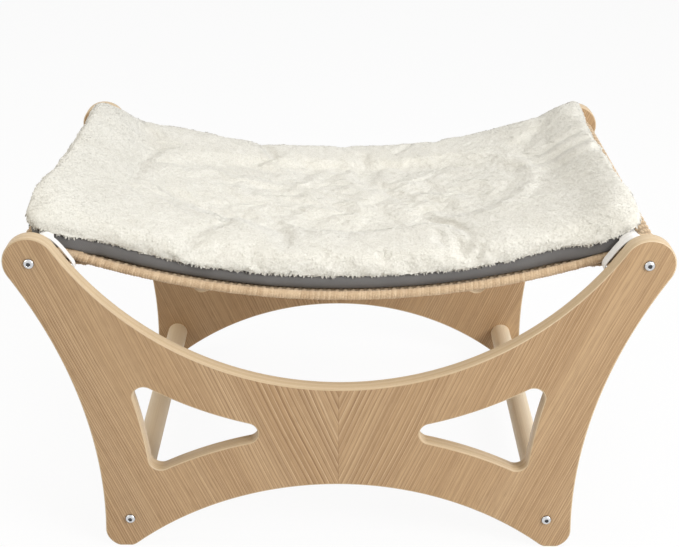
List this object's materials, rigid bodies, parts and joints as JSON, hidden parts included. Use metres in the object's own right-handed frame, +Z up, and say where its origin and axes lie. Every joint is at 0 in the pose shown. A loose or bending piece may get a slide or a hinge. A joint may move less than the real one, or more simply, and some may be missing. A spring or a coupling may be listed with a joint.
{
  "type": "cat hammock",
  "caption": "Free-standing cat hammock: curved wooden panels joined by dowels carry a woven sisal sling, with a removable fleece-topped pad on elastic corner loops.",
  "frame": {"origin": "on the floor under the middle of the hammock", "axes": "+X to the right, +Y from the front panel to the rear panel, +Z up"},
  "size_m": [0.5678, 0.401, 0.3269],
  "materials": {
    "panel_veneer": "oak veneer on plywood, matt lacquer",
    "dowel_wood": "pale turned wood, bare",
    "bolt_steel": "bright zinc plate",
    "insert_brass": "turned",
    "woven_sisal": "coarse plain weave",
    "sisal_cord": "whipped cord",
    "seam_thread": "heavy thread",
    "base_fabric": "plain woven polyester",
    "wadding": "loose fibre",
    "fleece": "sherpa pile",
    "elastic": "ribbed woven elastic"
  },
  "bodies": {
    "frame": {"front_panel": "panel_veneer", "rear_panel": "panel_veneer", "dowel_top_left": "dowel_wood", "dowel_top_right": "dowel_wood", "dowel_bottom_left": "dowel_wood", "dowel_bottom_right": "dowel_wood", "bolt_front_top_left": "bolt_steel", "bolt_front_top_right": "bolt_steel", "bolt_front_bottom_left": "bolt_steel", "bolt_front_bottom_right": "bolt_steel", "bolt_rear_top_left": "bolt_steel", "bolt_rear_top_right": "bolt_steel", "bolt_rear_bottom_left": "bolt_steel", "bolt_rear_bottom_right": "bolt_steel", "insert_front_top_left": "insert_brass", "insert_front_top_right": "insert_brass", "insert_front_bottom_left": "insert_brass", "insert_front_bottom_right": "insert_brass", "insert_rear_top_left": "insert_brass", "insert_rear_top_right": "insert_brass", "insert_rear_bottom_left": "insert_brass", "insert_rear_bottom_right": "insert_brass", "sling_sheet": "woven_sisal", "sling_edge_front": "sisal_cord", "sling_edge_rear": "sisal_cord", "sleeve_seam_left": "seam_thread", "sleeve_seam_right": "seam_thread"},
    "pad": {"pad_base": "base_fabric", "pad_filling": "wadding", "pad_fleece": "fleece", "corner_loop_front_left": "elastic", "corner_loop_front_right": "elastic", "corner_loop_rear_left": "elastic", "corner_loop_rear_right": "elastic"}
  },
  "joints": [
    {"name": "pad_lift", "type": "slide", "parent": "frame", "child": "pad", "axis": [0, 0, 1], "range_m": [0, 0.03], "deforming": ["corner_loop_front_left", "corner_loop_front_right", "corner_loop_rear_left", "corner_loop_rear_right"]}
  ]
}
